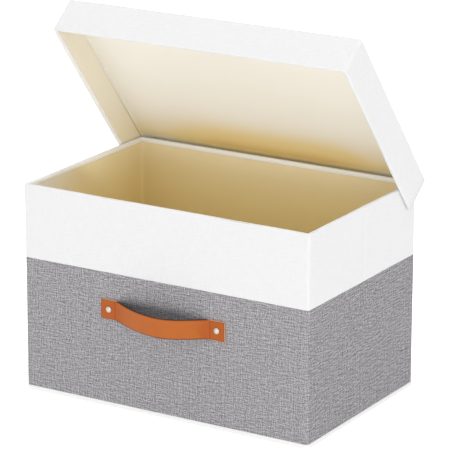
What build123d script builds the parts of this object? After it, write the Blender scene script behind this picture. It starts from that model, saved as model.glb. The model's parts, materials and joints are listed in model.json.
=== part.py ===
from build123d import *
from math import atan, cos, degrees, radians, sin
import os

# A fabric storage box with a hinged lid: stiff boards sewn between an outer fabric and a lining.
# Frame: origin on the floor under the middle of the box, +X right, -Y front, +Z up. Millimetres.
# At rest the lid stands open. Lid pieces are drawn in a plane that tilts about the hinge seam.

# Box body, measured over the fabric
box_width = 430.0
box_depth = 280.0
box_height = 284.0
corner_radius = 6.0
linen_top = 184.0
binding_height = 6.0
rim_lip_height = 6.0
rim_edge_radius = 0.55

# Sheet materials
cover_thickness = 0.8
lining_thickness = 0.7
wall_board_thickness = 3.4
board_corner_radius = 4.0
board_end_gap = 1.0
crease_gap = 3.0

# Loose bottom board, wrapped in lining fabric
insert_board_thickness = 3.0
insert_cover_thickness = 0.7
insert_side_clearance = 1.5
insert_rest_gap = 0.2
insert_turn_under = 22.0
insert_corner_radius = 5.0

# Lid
lid_open_angle = 51.4
lid_side_clearance = 0.8
lid_front_clearance = 1.3
lid_rim_gap = 0.5
lid_board_thickness = 5.5
lid_cover_thickness = 0.8
lid_lining_thickness = 0.7
skirt_board_thickness = 2.4
skirt_height = 51.0
skirt_lip_height = 5.0
skirt_rear_overhang = 1.9
lid_corner_radius = 5.0
lid_edge_radius = 1.6

# Fabric hinge flap behind the lid: sewn to the back wall below the rim, folded at the lid's rear edge
hinge_drop = 12.5
flap_thickness = 1.2
flap_wall_gap = 0.1
flap_panel_gap = 0.3
flap_fold_gap = 0.4
flap_end_margin = 2.0
flap_edge_radius = 0.4

# Leather strap handle and its rivets
strap_width = 26.5
strap_thickness = 2.4
strap_centre_height = 134.8
strap_tip_radius = 1.8
strap_edge_radius = 0.5
bow_span = 144.0
bow_rise = 30.0
bow_bend_radius = 16.0
strap_tab_length = 22.0
rivet_tip_distance = 12.0
rivet_post_radius = 1.6
rivet_hole_clearance = 0.1
rivet_cap_radius = 4.1
rivet_cap_rim = 0.5
rivet_cap_height = 1.7
back_cap_radius = 4.5
back_cap_thickness = 1.3
back_cap_clearance = 0.2

# Places that follow from the sizes above, in the box's frame
board_face = cover_thickness
lining_face = cover_thickness + wall_board_thickness
rim_inner_face = lining_face + cover_thickness
wall_inner_face = lining_face + lining_thickness
board_bottom = cover_thickness
board_top = box_height - cover_thickness
board_end = max(corner_radius, lining_face + board_end_gap)
floor_top = cover_thickness + lining_thickness
insert_bottom = floor_top + insert_rest_gap
insert_margin = max(wall_inner_face, rim_inner_face) + insert_side_clearance
insert_width = box_width - 2 * insert_margin
insert_depth = box_depth - 2 * insert_margin
front_y = -box_depth / 2
back_y = box_depth / 2
side_x = box_width / 2

# The hinge seam is the origin of the lid's own plane, whose local +Y runs from the lid's front to its rear.
hinge_y = back_y + flap_wall_gap + flap_thickness / 2
hinge_z = box_height - hinge_drop
tilt = radians(lid_open_angle)
lid_plane = Plane(origin=(0, hinge_y, hinge_z), x_dir=(1, 0, 0), z_dir=(0, sin(tilt), cos(tilt)))

# Places in the lid's own plane, heights counted from the seam
skirt_thickness = 2 * lid_cover_thickness + skirt_board_thickness
panel_thickness = lid_cover_thickness + lid_board_thickness + lid_lining_thickness
lid_side_x = side_x + lid_side_clearance + skirt_thickness
lid_front_y = front_y - lid_front_clearance - skirt_thickness - hinge_y
skirt_rear_y = back_y + skirt_rear_overhang - hinge_y
panel_rear_y = -flap_thickness / 2 - flap_panel_gap
lid_top_z = hinge_drop + lid_rim_gap + panel_thickness
lid_board_z = lid_top_z - lid_cover_thickness - lid_board_thickness
lid_lining_z = lid_board_z - lid_lining_thickness
skirt_bottom_z = lid_top_z - skirt_height
skirt_board_z = skirt_bottom_z + lid_cover_thickness
skirt_lip_top_z = skirt_bottom_z + skirt_lip_height
skirt_board_face = lid_cover_thickness
skirt_lining_face = lid_cover_thickness + skirt_board_thickness
fold_z = lid_top_z - flap_thickness / 2

# Handle places
strap_bottom = strap_centre_height - strap_width / 2
strap_length = bow_span + 2 * strap_tab_length
rivet_x = strap_length / 2 - rivet_tip_distance
rivet_places = ((-rivet_x, strap_centre_height), (rivet_x, strap_centre_height))
strap_face_y = front_y - strap_thickness
post_end_y = front_y + cover_thickness + wall_board_thickness


def box_ring(outer_inset, inner_inset):
    """A ring in plan round the box, between two distances from the fabric's outside."""
    for inset, mode in ((outer_inset, Mode.ADD), (inner_inset, Mode.SUBTRACT)):
        radius = max(corner_radius - inset, cover_thickness)
        RectangleRounded(box_width - 2 * inset, box_depth - 2 * inset, radius, mode=mode)


def lid_plan(inset, rear_y, mode=Mode.ADD):
    """The lid in plan, inset from the fabric's outside, with round front corners and a square rear edge."""
    side = lid_side_x - inset
    front = lid_front_y + inset
    radius = max(lid_corner_radius - inset, lid_cover_thickness)
    with BuildLine(mode=Mode.PRIVATE) as outline:
        Polyline((-side, rear_y), (-side, front), (side, front), (side, rear_y))
        fillet(outline.vertices().group_by(Axis.Y)[0], radius)
        Line((side, rear_y), (-side, rear_y))
    make_face(outline.edges(), mode=mode)


# Boards of the box: front and back in one piece, each side in two halves with the folding crease between them
board_height = board_top - board_bottom
board_middle = (board_top + board_bottom) / 2

with BuildPart() as front_board:
    with BuildSketch(Plane.XZ.offset(box_depth / 2 - board_face)):
        with Locations((0, board_middle)):
            RectangleRounded(box_width - 2 * board_end, board_height, board_corner_radius)
        with Locations(*rivet_places):
            Circle(rivet_post_radius + rivet_hole_clearance, mode=Mode.SUBTRACT)
    extrude(amount=-wall_board_thickness)
    # The set rivet heads lie in dimples in the board, under the lining
    with BuildSketch(Plane.XZ.offset(-post_end_y)):
        with Locations(*rivet_places):
            Circle(back_cap_radius + back_cap_clearance)
    extrude(amount=back_cap_thickness, mode=Mode.SUBTRACT)

with BuildPart() as back_board:
    with BuildSketch(Plane.XZ.offset(-box_depth / 2 + board_face)):
        with Locations((0, board_middle)):
            RectangleRounded(box_width - 2 * board_end, board_height, board_corner_radius)
    extrude(amount=wall_board_thickness)

half_board_length = box_depth / 2 - board_end - crease_gap / 2
half_board_middle = (box_depth / 2 - board_end + crease_gap / 2) / 2
side_boards = {}
for side_name, side in (("left", -1), ("right", 1)):
    for end_name, end in (("front", -1), ("rear", 1)):
        with BuildPart() as half_board:
            with BuildSketch(Plane.YZ.offset(side * (side_x - board_face))):
                with Locations((end * half_board_middle, board_middle)):
                    RectangleRounded(half_board_length, board_height, board_corner_radius)
            extrude(amount=-side * wall_board_thickness)
        side_boards[f"{side_name}_{end_name}_board"] = half_board

# White base fabric under the box, and the narrow white binding that runs round the foot on its edge
with BuildPart() as base_cover:
    with BuildSketch():
        RectangleRounded(box_width, box_depth, corner_radius)
    extrude(amount=cover_thickness)

with BuildPart() as base_binding:
    with BuildSketch(Plane.XY.offset(cover_thickness)):
        box_ring(0, cover_thickness)
    extrude(amount=binding_height - cover_thickness)

# Grey linen round the lower part
with BuildPart() as linen_cover:
    with BuildSketch(Plane.XY.offset(binding_height)):
        box_ring(0, cover_thickness)
    extrude(amount=linen_top - binding_height)
    with BuildSketch(Plane.XZ.offset(box_depth / 2)):
        with Locations(*rivet_places):
            Circle(rivet_post_radius + rivet_hole_clearance)
    extrude(amount=-cover_thickness, mode=Mode.SUBTRACT)

# White fabric round the upper part, folded over the rim and down inside as a lip
with BuildPart() as upper_cover:
    with BuildSketch(Plane.XY.offset(linen_top)):
        box_ring(0, cover_thickness)
    extrude(amount=box_height - linen_top)
    with BuildSketch(Plane.XY.offset(board_top)):
        box_ring(0, rim_inner_face)
    extrude(amount=cover_thickness)
    with BuildSketch(Plane.XY.offset(box_height - rim_lip_height)):
        box_ring(lining_face, rim_inner_face)
    extrude(amount=rim_lip_height)
    rim_edges = upper_cover.faces().sort_by(Axis.Z)[-1].edges()
    fillet(rim_edges, rim_edge_radius)

# Beige lining: four walls in one strip, and the floor sheet under the loose board
with BuildPart() as wall_lining:
    with BuildSketch(Plane.XY.offset(floor_top)):
        box_ring(lining_face, wall_inner_face)
    extrude(amount=box_height - rim_lip_height - floor_top)

with BuildPart() as floor_lining:
    with BuildSketch(Plane.XY.offset(cover_thickness)):
        RectangleRounded(
            box_width - 2 * lining_face,
            box_depth - 2 * lining_face,
            max(corner_radius - lining_face, cover_thickness),
        )
    extrude(amount=lining_thickness)

# Loose bottom board and the fabric wrapped round it, open underneath
with BuildPart() as insert_board:
    with BuildSketch(Plane.XY.offset(insert_bottom + insert_cover_thickness)):
        RectangleRounded(
            insert_width - 2 * insert_cover_thickness,
            insert_depth - 2 * insert_cover_thickness,
            insert_corner_radius - insert_cover_thickness,
        )
    extrude(amount=insert_board_thickness)

with BuildPart() as insert_cover:
    with BuildSketch(Plane.XY.offset(insert_bottom)):
        RectangleRounded(insert_width, insert_depth, insert_corner_radius)
    extrude(amount=insert_board_thickness + 2 * insert_cover_thickness)
    with BuildSketch(Plane.XY.offset(insert_bottom + insert_cover_thickness)):
        RectangleRounded(
            insert_width - 2 * insert_cover_thickness,
            insert_depth - 2 * insert_cover_thickness,
            insert_corner_radius - insert_cover_thickness,
        )
    extrude(amount=insert_board_thickness, mode=Mode.SUBTRACT)
    with BuildSketch(Plane.XY.offset(insert_bottom)):
        RectangleRounded(
            insert_width - 2 * insert_turn_under,
            insert_depth - 2 * insert_turn_under,
            insert_corner_radius,
        )
    extrude(amount=insert_cover_thickness, mode=Mode.SUBTRACT)

# Leather strap: flat tabs on the wall, and between them a bow that stands out for the fingers.
# Each bend off the wall and the bow itself are tangent arcs that share one turn angle.
bow_turn = 2 * atan(bow_rise / (bow_span / 2))
bow_radius = bow_span / 2 / sin(bow_turn) - bow_bend_radius

with BuildPart() as handle_strap:
    with BuildSketch(Plane.XY.offset(strap_bottom)):
        with BuildLine():
            left_tab = Line((-strap_length / 2, front_y), (-bow_span / 2, front_y))
            left_bend = JernArc(left_tab @ 1, (1, 0), bow_bend_radius, -degrees(bow_turn))
            bow = JernArc(left_bend @ 1, left_bend % 1, bow_radius, 2 * degrees(bow_turn))
            right_bend = JernArc(bow @ 1, bow % 1, bow_bend_radius, -degrees(bow_turn))
            Line(right_bend @ 1, (strap_length / 2, front_y))
            offset(amount=strap_thickness, side=Side.RIGHT)
        make_face()
    extrude(amount=strap_width)
    tip_corners = handle_strap.edges().filter_by(Axis.Y)
    fillet(tip_corners, strap_tip_radius)
    # The burnished edges run round both faces, and leave out the lines where tab, bend and bow meet
    burnished = handle_strap.edges().filter_by(Axis.Y, reverse=True)
    burnished = burnished.filter_by(lambda edge: abs(edge.length - strap_width) > strap_tip_radius)
    fillet(burnished, strap_edge_radius)
    with BuildSketch(Plane.XZ.offset(box_depth / 2)):
        with Locations(*rivet_places):
            Circle(rivet_post_radius + rivet_hole_clearance)
    extrude(amount=strap_thickness, mode=Mode.SUBTRACT)

# Domed rivets, each with its post, and the caps set on the posts' ends
with BuildPart() as handle_rivets:
    with BuildSketch(Plane.XY.offset(strap_centre_height)):
        with BuildLine():
            Polyline(
                (rivet_x, post_end_y),
                (rivet_x + rivet_post_radius, post_end_y),
                (rivet_x + rivet_post_radius, strap_face_y),
                (rivet_x + rivet_cap_radius, strap_face_y),
                (rivet_x + rivet_cap_radius, strap_face_y - rivet_cap_rim),
            )
            TangentArc(
                (rivet_x, strap_face_y - rivet_cap_height),
                (rivet_x + rivet_cap_radius, strap_face_y - rivet_cap_rim),
                tangent=(1, 0),
            )
            Line((rivet_x, strap_face_y - rivet_cap_height), (rivet_x, post_end_y))
        make_face()
    revolve(axis=Axis((rivet_x, 0, strap_centre_height), (0, 1, 0)))
    mirror(about=Plane.YZ)

with BuildPart() as rivet_back_caps:
    with BuildSketch(Plane.XZ.offset(-post_end_y)):
        with Locations(*rivet_places):
            Circle(back_cap_radius)
            Circle(rivet_post_radius, mode=Mode.SUBTRACT)
    extrude(amount=back_cap_thickness)

# Lid boards: the panel, and a skirt board on the front and on each side
with BuildPart() as lid_top_board:
    with BuildSketch(lid_plane.offset(lid_board_z)):
        lid_plan(lid_cover_thickness, panel_rear_y - lid_cover_thickness)
    extrude(amount=lid_board_thickness)

skirt_board_height = lid_board_z - skirt_board_z
skirt_board_middle = skirt_board_z + skirt_board_height / 2
lid_board_end = max(lid_corner_radius, skirt_lining_face + board_end_gap)
front_skirt_plane = Plane(
    origin=lid_plane.from_local_coords((0, lid_front_y + skirt_board_face, skirt_board_middle)),
    x_dir=lid_plane.x_dir,
    z_dir=lid_plane.y_dir,
)
with BuildPart() as lid_front_board:
    with BuildSketch(front_skirt_plane):
        RectangleRounded(2 * (lid_side_x - lid_board_end), skirt_board_height, board_corner_radius)
    extrude(amount=skirt_board_thickness)

side_skirt_front_y = lid_front_y + lid_board_end
side_skirt_rear_y = skirt_rear_y - lid_cover_thickness
side_skirt_boards = {}
for side_name, side in (("left", -1), ("right", 1)):
    side_skirt_plane = Plane(
        origin=lid_plane.from_local_coords(
            (
                side * (lid_side_x - skirt_board_face),
                (side_skirt_front_y + side_skirt_rear_y) / 2,
                skirt_board_middle,
            )
        ),
        x_dir=lid_plane.y_dir,
        z_dir=lid_plane.x_dir,
    )
    with BuildPart() as skirt_board:
        with BuildSketch(side_skirt_plane):
            RectangleRounded(side_skirt_rear_y - side_skirt_front_y, skirt_board_height, board_corner_radius)
        extrude(amount=-side * skirt_board_thickness)
    side_skirt_boards[f"lid_{side_name}_board"] = skirt_board

# White lid fabric: over the panel, down the three skirts and turned up inside them as a lip.
# Its rear is open between the skirts, where the hinge flap hangs.
notch_width = 2 * (lid_side_x - skirt_thickness)
notch_length = skirt_rear_y - panel_rear_y
lid_up = Axis(lid_plane.origin, lid_plane.z_dir)
lid_back = Axis(lid_plane.origin, lid_plane.y_dir)

with BuildPart() as lid_cover:
    with BuildSketch(lid_plane.offset(skirt_bottom_z)):
        lid_plan(0, skirt_rear_y)
    extrude(amount=skirt_height)
    top_edges = lid_cover.faces().sort_by(lid_up)[-1].edges()
    fillet(top_edges.sort_by(lid_back)[:-1], min(lid_edge_radius, 2 * lid_cover_thickness))
    # The boards' pockets and the hollow of the lid
    with BuildSketch(lid_plane.offset(skirt_board_z)):
        lid_plan(lid_cover_thickness, skirt_rear_y - lid_cover_thickness)
    extrude(amount=lid_top_z - lid_cover_thickness - skirt_board_z, mode=Mode.SUBTRACT)
    with BuildSketch(lid_plane.offset(skirt_bottom_z)):
        lid_plan(skirt_thickness, skirt_rear_y)
    extrude(amount=lid_top_z - lid_cover_thickness - skirt_bottom_z, mode=Mode.SUBTRACT)
    with BuildSketch(lid_plane.offset(skirt_bottom_z)):
        with Locations((0, panel_rear_y + notch_length / 2)):
            Rectangle(notch_width, notch_length)
    extrude(amount=skirt_height, mode=Mode.SUBTRACT)
    # The lip inside the skirts, and the fabric closed round the panel's rear edge
    with BuildSketch(lid_plane.offset(skirt_bottom_z)):
        lid_plan(skirt_thickness - lid_cover_thickness, skirt_rear_y)
        lid_plan(skirt_thickness, skirt_rear_y, mode=Mode.SUBTRACT)
    extrude(amount=skirt_lip_height)
    with BuildSketch(lid_plane.offset(lid_lining_z)):
        with Locations((0, panel_rear_y - lid_cover_thickness / 2)):
            Rectangle(notch_width, lid_cover_thickness)
    extrude(amount=panel_thickness)

# Beige lid lining: under the panel and up the inside of the skirts
with BuildPart() as lid_lining:
    with BuildSketch(lid_plane.offset(lid_lining_z)):
        lid_plan(skirt_lining_face, panel_rear_y - lid_cover_thickness)
    extrude(amount=lid_lining_thickness)
    lining_rear_y = skirt_rear_y - lid_cover_thickness
    with BuildSketch(lid_plane.offset(skirt_lip_top_z)):
        lid_plan(skirt_lining_face, lining_rear_y)
        lid_plan(skirt_lining_face + lid_lining_thickness, lining_rear_y, mode=Mode.SUBTRACT)
    extrude(amount=lid_lining_z - skirt_lip_top_z)

# Fabric hinge flap from the seam on the back wall up to the fold at the lid's rear edge
with BuildPart() as hinge_flap:
    with BuildSketch(lid_plane.offset(flap_fold_gap)):
        Rectangle(box_width - 2 * flap_end_margin, flap_thickness)
    extrude(amount=fold_z - 2 * flap_fold_gap)
    long_edges = hinge_flap.edges().filter_by(Axis.X)
    fillet(long_edges, flap_edge_radius)

pieces = {
    "front_board": front_board,
    "back_board": back_board,
    **side_boards,
    "base_cover": base_cover,
    "base_binding": base_binding,
    "linen_cover": linen_cover,
    "upper_cover": upper_cover,
    "wall_lining": wall_lining,
    "floor_lining": floor_lining,
    "insert_board": insert_board,
    "insert_cover": insert_cover,
    "handle_strap": handle_strap,
    "handle_rivets": handle_rivets,
    "rivet_back_caps": rivet_back_caps,
    "lid_top_board": lid_top_board,
    "lid_front_board": lid_front_board,
    **side_skirt_boards,
    "lid_cover": lid_cover,
    "lid_lining": lid_lining,
    "hinge_flap": hinge_flap,
}

os.makedirs("parts", exist_ok=True)
for name, piece in pieces.items():
    piece.part.label = name
    export_step(piece.part, f"parts/{name}.step")

print("hinge seam at y", round(hinge_y, 2), "z", round(hinge_z, 2))
fold = lid_plane.from_local_coords((0, 0, fold_z))
print("fold at y", round(fold.Y, 3), "z", round(fold.Z, 3))
print("bow turn", round(degrees(bow_turn), 1), "bow radius", round(bow_radius, 1))
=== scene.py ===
import json
import math
from bisect import bisect_right
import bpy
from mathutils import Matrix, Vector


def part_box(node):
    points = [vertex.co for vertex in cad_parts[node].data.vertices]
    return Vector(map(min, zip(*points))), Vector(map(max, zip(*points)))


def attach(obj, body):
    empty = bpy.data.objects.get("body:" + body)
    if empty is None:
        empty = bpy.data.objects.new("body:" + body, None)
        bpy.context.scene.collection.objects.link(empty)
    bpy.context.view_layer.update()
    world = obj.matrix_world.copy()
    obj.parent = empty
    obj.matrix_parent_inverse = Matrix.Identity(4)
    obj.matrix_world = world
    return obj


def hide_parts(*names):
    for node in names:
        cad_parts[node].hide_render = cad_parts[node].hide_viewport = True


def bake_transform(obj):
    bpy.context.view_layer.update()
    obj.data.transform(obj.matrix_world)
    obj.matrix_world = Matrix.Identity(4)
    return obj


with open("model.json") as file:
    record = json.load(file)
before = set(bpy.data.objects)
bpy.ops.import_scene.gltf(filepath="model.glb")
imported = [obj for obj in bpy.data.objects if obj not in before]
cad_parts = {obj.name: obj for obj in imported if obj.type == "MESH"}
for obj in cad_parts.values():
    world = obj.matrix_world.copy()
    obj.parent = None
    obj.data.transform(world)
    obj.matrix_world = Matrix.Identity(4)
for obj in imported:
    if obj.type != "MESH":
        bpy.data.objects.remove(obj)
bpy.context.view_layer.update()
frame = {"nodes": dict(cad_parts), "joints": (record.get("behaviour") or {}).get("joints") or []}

from types import SimpleNamespace

import bmesh
import bpy
from mathutils import Matrix, Vector, noise

# A fabric storage box with its lid standing open. Metres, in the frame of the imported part.
scene = bpy.context.scene
mm = 0.001


def inMm(**sizes):
    # A piece's sizes, given in millimetres
    return {name: size * mm for name, size in sizes.items()}


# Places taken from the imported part

seamHinge = next(joint for joint in frame["joints"] if joint["name"] == "seam_hinge")
seam = Vector(seamHinge["pos_m"])
openAngle = math.radians(-seamHinge["range_deg"][0])
# The lid is made shut, with the seam as its origin, and then turned up by this
lidTurn = Matrix.Translation(seam) @ Matrix.Rotation(-openAngle, 4, "X")


def boxInLid(node):
    # A node's lowest and highest corner with the lid shut and the seam as origin
    back = lidTurn.inverted()
    points = [back @ v.co for v in frame["nodes"][node].data.vertices]
    return [Vector([pick(p[i] for p in points) for i in range(3)]) for pick in (min, max)]


linenLow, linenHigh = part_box("linen_cover")
upperLow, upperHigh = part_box("upper_cover")
liningLow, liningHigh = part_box("wall_lining")
insertLow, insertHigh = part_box("insert_cover")
strapLow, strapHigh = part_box("handle_strap")
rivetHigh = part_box("handle_rivets")[1]
lidLow, lidHigh = boxInLid("lid_cover")
lidLiningLow, lidLiningHigh = boxInLid("lid_lining")
lidBoardLow = boxInLid("lid_top_board")[0]
flapLow, flapHigh = boxInLid("hinge_flap")


# Shader maths

class Wire:
    # A socket of a material, or its tree to start from. Sums and products of wires add Math nodes.
    def __init__(self, tree, socket=None):
        self.tree = tree
        self.socket = socket

    def node(self, kind, values={}, out=0, stops=(), **settings):
        made = self.tree.nodes.new("ShaderNode" + kind)
        for key, value in settings.items():
            setattr(made, key, value)
        for number, (place, colour) in enumerate(stops):
            if number > 1:
                made.color_ramp.elements.new(place)
            element = made.color_ramp.elements[number]
            element.position = place
            element.color = (*colour, 1)
        for key, value in values.items():
            if isinstance(value, Wire):
                self.tree.links.new(value.socket, made.inputs[key])
            else:
                made.inputs[key].default_value = value
        return Wire(self.tree, made.outputs[out] if made.outputs else None)

    def calc(self, operation, *others):
        return self.node("Math", dict(enumerate((self, *others))), operation=operation)

    def __add__(self, other):
        return self.calc("ADD", other)

    def __mul__(self, other):
        return self.calc("MULTIPLY", other)

    def __sub__(self, other):
        return self.calc("SUBTRACT", other)

    def __rsub__(self, other):
        return self.node("Math", {0: other, 1: self}, operation="SUBTRACT")

    __radd__ = __add__
    __rmul__ = __mul__

    def between(self, low, high):
        # 0 at low, 1 at high, smooth in between
        return self.node("MapRange", {"Value": self, "From Min": low, "From Max": high},
                         interpolation_type="SMOOTHSTEP")

    def mix(self, first, second):
        # A colour: first where this is 0, second where it is 1
        ends = [end if isinstance(end, Wire) else (*end, 1) for end in (first, second)]
        return self.node("Mix", {0: self, 6: ends[0], 7: ends[1]}, out=2, data_type="RGBA")

    def axes(self, count):
        return [self.node("SeparateXYZ", {0: self}, out=axis) for axis in range(count)]

    def stored(self, name):
        # A value that the piece's own points hold
        return self.node("Attribute", out="Fac", attribute_name=name)


def combine(x, y, z=0):
    return x.node("CombineXYZ", {0: x, 1: y, 2: z})


def noiseOn(place, scale, detail=2, roughness=0.5):
    values = {"Vector": place, "Scale": scale, "Detail": detail, "Roughness": roughness}
    return place.node("TexNoise", values)


def threadTones(u, v, pitch, hold, seed):
    # Threads that run along v. Each has its own tone, about 0, which drifts along it.
    thread = (u * (1 / pitch)).calc("FLOOR")

    def toneOf(number):
        return noiseOn(combine(number * 17.31 + seed, v * (1 / hold) + number * 5.37, seed), 1, 0)

    return toneOf(thread) - toneOf(thread + 1) * 0.7 - 0.15


def ridge(place):
    # A row of rounded threads, one a unit: 1 on the crest and 0 between two
    half = place.calc("FRACT") * 2 - 1
    return 1 - half * half


def plainWeave(u, v, pitch):
    # Height of a plain weave, and 1 where the thread along v lies on top
    across, along = u * (1 / pitch), v * (1 / pitch)
    parity = (across.calc("FLOOR") + along.calc("FLOOR")) * 0.5
    over = parity.calc("FRACT") * 2
    height = over * ridge(across) * (0.4 + 0.6 * ridge(along))
    height = height + (1 - over) * ridge(along) * (0.4 + 0.6 * ridge(across))
    return height, over


# Materials

materials = {}


def startMaterial(name):
    made = materials[name] = bpy.data.materials.new(name)
    made.use_nodes = True
    made.node_tree.nodes.clear()
    return Wire(made.node_tree)


def finishMaterial(tree, colour, roughness, bumps, sockets):
    # One Principled shader, with bumps of (height, distance) one upon the other
    normal = {}
    for height, distance in bumps:
        inputs = {"Height": height, "Distance": distance, "Strength": 1.0}
        normal = {"Normal": tree.node("Bump", inputs | normal)}
    values = {"Base Color": colour, "Roughness": roughness} | sockets | normal
    tree.node("OutputMaterial", {"Surface": tree.node("BsdfPrincipled", values)})


def clothPlace(tree):
    # The piece's own flat cloth, in metres
    return tree.node("UVMap", uv_map="cloth").axes(2)


def objectPlace(tree):
    return tree.node("TexCoord", out="Object")


fabric = {
    "colour": (0.775, 0.775, 0.778), "shade": (0.735, 0.735, 0.74), "foldLight": (0.94, 0.935, 0.92),
    "pitch": 0.55 * mm, "relief": 0.05 * mm, "roughness": 0.86, "sheen": 0.06,
    "streak": (1.3 * mm, 16 * mm),  # width and length of the threads' streaks
}


def makeWhiteFabric():
    tree = startMaterial("white fabric")
    u, v = clothPlace(tree)
    height, over = plainWeave(u, v, fabric["pitch"])
    width, length = fabric["streak"]
    warp, weft = (noiseOn(combine(a * (1 / width), b * (1 / length), seed), 1, 2, 0.6).between(0.32, 0.68)
                  for a, b, seed in ((u, v, 0.0), (v, u, 5.0)))
    tone = (warp + weft) * 0.45 + noiseOn(combine(u, v), 38, 3) * 0.1
    colour = tone.between(1.0, 0.0).mix(fabric["colour"], fabric["shade"])
    # Folded over an edge the cloth lies double, and there it is painted whiter: painted light that lifts the
    # shade on the lips
    colour = tree.stored("foldLight").mix(colour, fabric["foldLight"])
    finishMaterial(tree, colour, fabric["roughness"] + over * 0.04,
                   [(height + (warp + weft) * 0.3, fabric["relief"])],
                   {"Sheen Weight": fabric["sheen"], "Specular IOR Level": 0.25})


linen = {
    "dark": (0.095, 0.091, 0.097), "mid": (0.330, 0.320, 0.334), "light": (0.59, 0.58, 0.60),
    "pitch": 1.2 * mm, "relief": 0.14 * mm, "roughness": 0.9, "sheen": 0.04,
    "wander": 0.8 * mm,
    # How long a thread keeps its tone
    "weftHold": 9 * mm, "warpHold": 5 * mm, "warpDrift": 40 * mm,
    # Seen straight on, and what a low angle adds
    "level": (0.465, -0.17), "contrast": (0.81, 0.84),
    # Painted shadow behind the strap's bow, and where it sets in. Heights count from the strap's upper edge.
    "shade": (0.03, 0.03, 0.032), "shadeStrength": 0.56,
    "fromAbove": (15 * mm, -3 * mm), "fromBelow": (-32 * mm, -16 * mm),
    "fromLeft": (-76 * mm, -54 * mm), "fromRight": (72 * mm, 15 * mm),
}


def makeGreyLinen():
    tree = startMaterial("grey linen")
    u, v = clothPlace(tree)
    pitch = linen["pitch"]
    wander = noiseOn(combine(u, v, 3.0), 60, 1) * linen["wander"]
    height, over = plainWeave(u + wander, v - wander, pitch)
    weft = threadTones(v, u, pitch, linen["weftHold"], 7.3) * 1.08
    warp = threadTones(u, v, pitch, linen["warpHold"], 1.0)
    warp = warp + threadTones(u, v, pitch, linen["warpDrift"], 11.7) * 0.55
    fibre = noiseOn(combine(u, v, 9.0), 1500, 2) - 0.5
    tone = (warp + weft) * 0.57 + (over * warp + (1 - over) * weft) * 0.2 + fibre * 0.1 + height * 0.04
    # Painted shade between the threads: from a low angle the cloth is darkened and its threads stand out more
    aside = tree.node("LayerWeight", {"Blend": 0.5}, out="Facing")
    level, contrast = (linen[key][0] + aside * linen[key][1] for key in ("level", "contrast"))
    stops = [(share, linen[key]) for share, key in ((0.0, "dark"), (0.5, "mid"), (1.0, "light"))]
    colour = tree.node("ValToRGB", {0: tone * contrast + level}, stops=stops)
    # Painted shadow of the strap's bow on the linen, above and behind it
    x, y, z = objectPlace(tree).axes(3)
    above = (z - strapHigh.z).between(*linen["fromAbove"])
    below = (z - strapHigh.z).between(*linen["fromBelow"])
    sides = x.between(*linen["fromLeft"]) * x.between(*linen["fromRight"])
    shade = above * above * below * sides * y.between(0.0, -0.1) * linen["shadeStrength"]
    colour = shade.mix(colour, linen["shade"])
    finishMaterial(tree, colour, linen["roughness"] + fibre * 0.06,
                   [(height * (0.9 + 0.5 * (warp + weft)), linen["relief"])],
                   {"Sheen Weight": linen["sheen"], "Specular IOR Level": 0.2})


# Cream is the cloth's own colour. The golden and amber tones and the crease's colour are painted shade.
lining = {
    "cream": (0.905, 0.885, 0.82), "goldShade": (0.87, 0.70, 0.34), "amberShade": (0.78, 0.52, 0.17),
    "crease": (0.40, 0.34, 0.17), "fibre": (0.45, 0.38, 0.26), "relief": 0.05 * mm, "roughness": 0.8,
}


def makeBeigeLining():
    tree = startMaterial("beige lining")
    flat = combine(*clothPlace(tree))
    fibre = noiseOn(flat, 900, 3, 0.7)
    points = flat.node("TexVoronoi", {"Vector": flat, "Scale": 620}, out="Distance")
    # depth is painted shade: 0 leaves the cloth cream, 1 makes it golden and 2 amber
    warm = tree.stored("depth") + (noiseOn(flat, 24, 3) - 0.5) * 0.12
    colour = warm.between(0.0, 1.0).mix(lining["cream"], lining["goldShade"])
    colour = warm.between(0.9, 2.0).mix(colour, lining["amberShade"])
    # Painted shade in the tuck's crease
    colour = tree.stored("crease").mix(colour, lining["crease"])
    colour = (fibre.between(0.3, 0.7) * 0.06).mix(colour, lining["fibre"])
    finishMaterial(tree, colour, lining["roughness"] + fibre * 0.08,
                   [(points.between(0.1, 0.5) + fibre * 0.5, lining["relief"])], {"Specular IOR Level": 0.3})


leather = {
    "colour": (0.41, 0.088, 0.009), "pale": (0.46, 0.12, 0.017), "deep": (0.23, 0.038, 0.004),
    "cut": (0.60, 0.30, 0.14), "cutShade": (0.035, 0.012, 0.006), "flesh": (0.16, 0.055, 0.022),
    "relief": 0.05 * mm, "roughness": 0.5,
    # Darker along the edge, the fold and the rivet: where that starts and where it is full
    "edgeLine": (2.3 * mm, 0.6 * mm), "foldLine": (0.9 * mm, 0.2 * mm), "rivetRing": (5.6 * mm, 4.3 * mm),
    "cutLine": (0.8 * mm, 0.3 * mm), "rounding": (1.2 * mm, 1.7 * mm),
    "bowLight": (2 * mm, 30 * mm), "cutShadeFrom": 6 * mm,  # counted from the fold
}


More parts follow.
